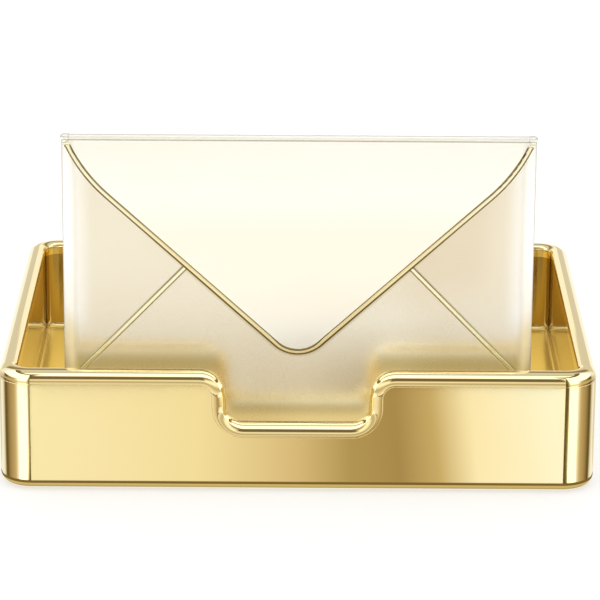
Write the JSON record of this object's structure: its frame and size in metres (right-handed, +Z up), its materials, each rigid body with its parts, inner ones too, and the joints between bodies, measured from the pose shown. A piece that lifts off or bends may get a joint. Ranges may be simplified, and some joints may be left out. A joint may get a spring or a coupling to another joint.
{
  "type": "desk envelope sorter tray",
  "caption": "Open-topped gold metal desk tray with a finger notch in front, holding an upright metal envelope with a hinged flap and an open pocket that lifts out.",
  "frame": {"origin": "on the desk, below the middle of the tray", "axes": "+Z up, -Y towards the front with the finger notch, +X to the right seen from the front"},
  "size_m": [0.33, 0.25, 0.197],
  "materials": {
    "polished_gold": "polished, fine grain",
    "rim_gold": "high polish",
    "mirror_gold": "mirror polish",
    "bead_gold": "high polish",
    "champagne": "satin, pale champagne",
    "seam_trim": "polished, pale champagne",
    "flap_champagne": "satin, pale cream champagne",
    "base_coat": "powder coat",
    "steel": "brushed",
    "foot_rubber": "matte",
    "felt": "short felt"
  },
  "bodies": {
    "tray": {"outer_shell": "polished_gold", "rim_frame": "rim_gold", "inner_liner": "mirror_gold", "base_plate": "base_coat", "floor_posts": "steel", "base_screws": "steel", "foot_front_left": "foot_rubber", "foot_front_right": "foot_rubber", "foot_rear_left": "foot_rubber", "foot_rear_right": "foot_rubber", "stand_rail": "mirror_gold", "rail_pad": "felt", "rail_screws": "steel", "rail_nuts": "steel"},
    "envelope": {"envelope_back": "champagne", "side_flap_left": "champagne", "side_flap_right": "champagne", "bottom_flap": "champagne", "seam_bead_left": "seam_trim", "seam_bead_right": "seam_trim", "envelope_foot": "champagne", "envelope_screws": "steel", "hinge_cap_left": "flap_champagne", "hinge_cap_right": "flap_champagne", "hinge_pin": "steel"},
    "flap": {"flap_panel": "flap_champagne", "flap_bead": "bead_gold", "flap_barrel": "flap_champagne", "flap_bumpers": "foot_rubber"}
  },
  "joints": [
    {"name": "envelope_lift", "type": "slide", "parent": "tray", "child": "envelope", "axis": [0, 0, 1], "range_m": [0, 0.06]},
    {"name": "flap_hinge", "type": "hinge", "parent": "envelope", "child": "flap", "pos_m": [0, -0.09625, 0.19525], "axis": [-1, 0, 0], "range_deg": [0, 180]}
  ]
}
